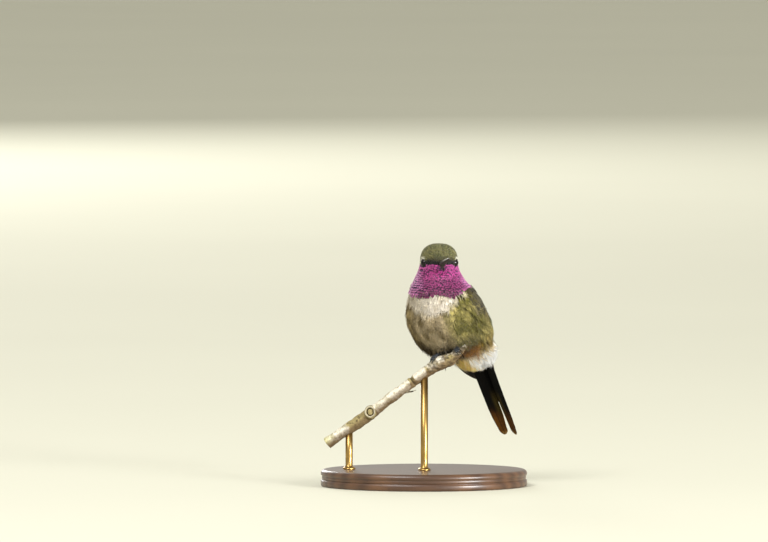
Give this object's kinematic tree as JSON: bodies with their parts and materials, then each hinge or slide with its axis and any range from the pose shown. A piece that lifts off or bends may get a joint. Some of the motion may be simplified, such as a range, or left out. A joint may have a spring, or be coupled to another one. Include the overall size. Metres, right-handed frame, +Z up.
{
  "type": "hummingbird model",
  "caption": "Life-size still model of a male woodstar hummingbird, perched upright on a cut twig that thin rods hold over an oval wooden base.",
  "frame": {"origin": "centre of the stand base's underside", "axes": "+Z up; the head looks along -Y, its bill 5 degrees towards +X; the breast is turned 38 degrees towards -X and the tail hangs towards +X and +Y"},
  "size_m": [0.062, 0.0507, 0.0732],
  "materials": {
    "plumage_green": "short green-brown feathers with a faint sheen",
    "plumage_gorget": "glossy magenta scale feathers",
    "plumage_white": "soft off-white feathers",
    "plumage_grey": "soft mottled grey-brown feathers",
    "plumage_buff": "loose buff and white feathers",
    "flight_feather": "stiff blackish-brown feathers, satin",
    "horn": "black horn, satin",
    "eye_glass": "polished, very dark brown",
    "scaled_skin": "dark grey scaled skin, satin",
    "bark": "rough pale bark with lichen",
    "stained_wood": "dark stain under satin varnish",
    "brass": "drawn and lightly brushed"
  },
  "bodies": {
    "root": {"head": "plumage_green", "neck": "plumage_gorget", "breast": "plumage_white", "belly": "plumage_grey", "rump": "plumage_buff", "bill_upper": "horn", "bill_lower": "horn", "eye_left": "eye_glass", "eye_right": "eye_glass", "wing_left": "flight_feather", "wing_right": "flight_feather", "tail_fork_left": "flight_feather", "tail_fork_right": "flight_feather", "tail_middle": "flight_feather", "leg_left": "scaled_skin", "leg_right": "scaled_skin", "perch_twig": "bark", "stand_base": "stained_wood", "stand_rod_low": "brass", "stand_rod_high": "brass"}
  },
  "joints": []
}
